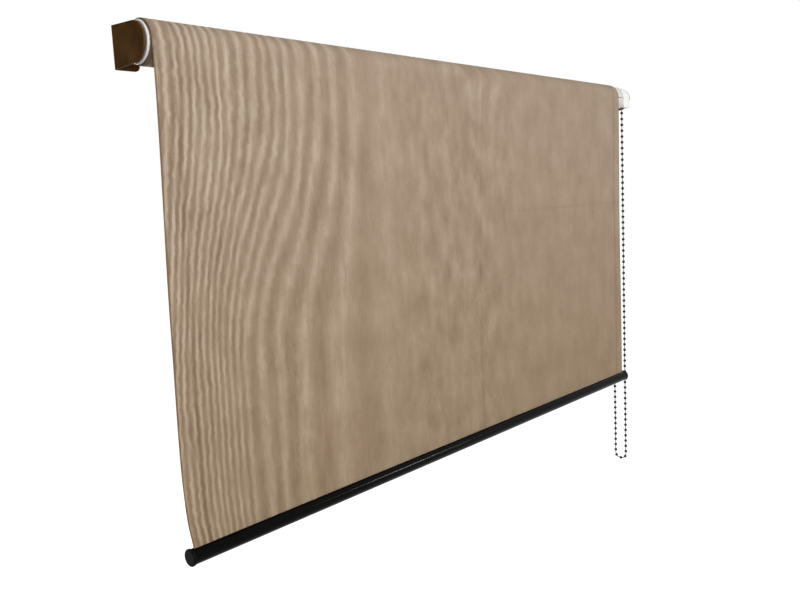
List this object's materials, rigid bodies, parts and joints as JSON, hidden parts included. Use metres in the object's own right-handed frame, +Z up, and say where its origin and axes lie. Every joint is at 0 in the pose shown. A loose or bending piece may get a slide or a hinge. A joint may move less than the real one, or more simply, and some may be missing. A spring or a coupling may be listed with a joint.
{
  "type": "outdoor roller shade",
  "caption": "Wall-hung roller shade: a ribbed tan mesh curtain on a tube between two plate brackets, wound up by a bead chain at one end and weighted by a round bottom rail.",
  "frame": {"origin": "on the wall face, in the middle of the four wall screws and level with the roller axis", "axes": "+X along the roller towards the chain, +Y into the wall, +Z up"},
  "size_m": [1.2756, 0.0929, 0.9093],
  "materials": {
    "bracket_paint": "satin brown",
    "white_plastic": "smooth white",
    "brown_nylon": "dull brown",
    "grey_nylon": "dull grey",
    "steel": "plain",
    "tube_metal": "white anodised",
    "mesh": "tan knitted mesh",
    "rail_paint": "gloss black",
    "rail_plastic": "satin black",
    "rod": "plain",
    "chain": "grey"
  },
  "bodies": {
    "brackets": {"idle_bracket": "bracket_paint", "chain_bracket": "bracket_paint", "idle_bush": "brown_nylon", "clutch_spindle": "grey_nylon", "retaining_washer": "steel", "retaining_screw": "steel", "spindle_rivets": "steel", "chain_guard": "white_plastic", "pull_chain": "chain"},
    "roller": {"roller_tube": "tube_metal", "fabric_spline": "rod", "fabric_roll": "mesh", "idle_plug": "white_plastic", "idle_pin": "steel", "drive_sleeve": "white_plastic", "chain_wheel": "white_plastic", "clutch_springs": "steel", "wheel_beads": "chain"},
    "rail": {"bottom_rail": "rail_paint", "hem_rod": "rod", "rail_cap_left": "rail_plastic", "rail_cap_right": "rail_plastic", "fabric_panel": "mesh"}
  },
  "joints": [
    {"name": "roller_turn", "type": "hinge", "parent": "brackets", "child": "roller", "pos_m": [0, -0.052, 0], "axis": [-1, 0, 0], "range_deg": [0, 1134]},
    {"name": "rail_lift", "type": "slide", "parent": "brackets", "child": "rail", "axis": [0, 0, 1], "range_m": [0, 0.6], "deforming": ["fabric_panel"]}
  ],
  "couplings": [
    {"joint": "rail_lift", "follows": "roller_turn", "m_per_rad": 0.0303}
  ]
}
